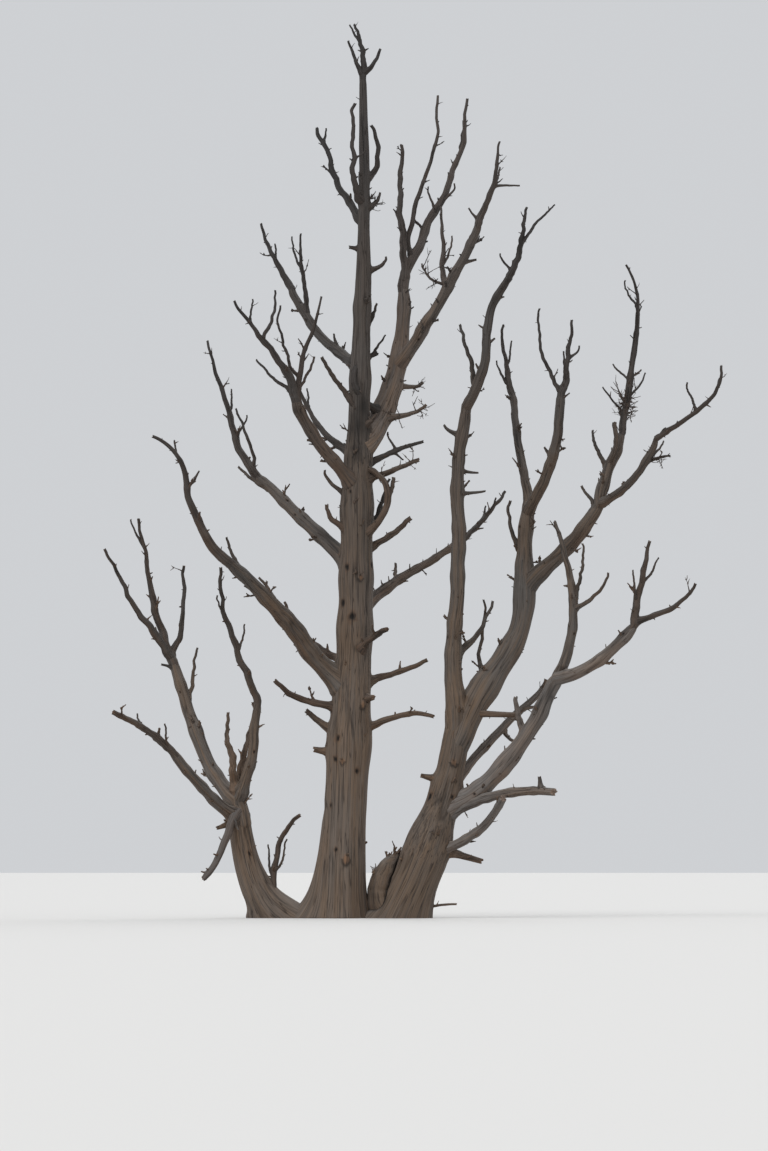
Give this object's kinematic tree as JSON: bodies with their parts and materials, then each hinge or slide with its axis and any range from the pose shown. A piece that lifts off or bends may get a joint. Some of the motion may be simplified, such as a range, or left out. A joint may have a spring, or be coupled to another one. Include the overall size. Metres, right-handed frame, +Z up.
{
  "type": "dead tree",
  "caption": "Weathered dead pine with three bare stems from one root, crooked boughs and bare broken twigs.",
  "frame": {"origin": "on the level ground cut, under the middle of the main trunk", "axes": "+Z up the trunk, +X towards the right-hand stem, -Y towards the viewer"},
  "size_m": [6.1292, 3.2803, 9.0281],
  "materials": {
    "stem_wood": "bare weathered wood, cracked along the grain",
    "bough_wood": "bare weathered wood, cracked along the grain",
    "fine_wood": "dry, dull and dark"
  },
  "bodies": {
    "root": {"trunk": "stem_wood", "right_stem": "stem_wood", "left_stem": "stem_wood", "second_leader": "bough_wood", "third_leader": "bough_wood", "left_high_bough": "bough_wood", "left_middle_bough": "bough_wood", "left_lower_bough": "bough_wood", "left_low_bough": "bough_wood", "right_back_bough": "bough_wood", "back_bough": "bough_wood", "right_left_bough": "bough_wood", "right_left_upper_bough": "bough_wood", "right_right_bough": "bough_wood", "right_back_top_bough": "bough_wood", "right_front_top_bough": "bough_wood", "right_arching_bough": "bough_wood", "right_outer_bough": "bough_wood", "right_inner_bough": "bough_wood", "low_front_bough": "bough_wood", "low_outer_bough": "bough_wood", "low_upright_bough": "bough_wood", "low_back_bough": "bough_wood", "low_level_bough": "bough_wood", "lowest_bough": "bough_wood", "far_left_bough": "bough_wood", "left_rising_bough": "bough_wood", "left_upright_bough": "bough_wood", "top_twigs": "fine_wood", "top_left_twigs": "fine_wood", "left_high_twigs": "fine_wood", "left_high_uprights": "fine_wood", "left_middle_twigs": "fine_wood", "left_middle_uprights": "fine_wood", "left_back_twigs": "fine_wood", "left_lower_twigs": "fine_wood", "left_low_twigs": "fine_wood", "left_low_back_twigs": "fine_wood", "low_left_snag": "fine_wood", "front_snag": "fine_wood", "right_middle_twigs": "fine_wood", "right_fork_twigs": "fine_wood", "back_twigs": "fine_wood", "right_back_twigs": "fine_wood", "leader_top_twigs": "fine_wood", "leader_hook_twigs": "fine_wood", "third_leader_twigs": "fine_wood", "third_leader_uprights": "fine_wood", "right_left_twigs": "fine_wood", "right_back_top_twigs": "fine_wood", "right_front_top_twigs": "fine_wood", "right_inner_twigs": "fine_wood", "right_outer_twigs": "fine_wood", "low_outer_twigs": "fine_wood", "far_left_twigs": "fine_wood", "left_rising_twigs": "fine_wood", "left_upright_twigs": "fine_wood", "drooping_twigs": "fine_wood", "low_shoots": "fine_wood"}
  },
  "joints": []
}
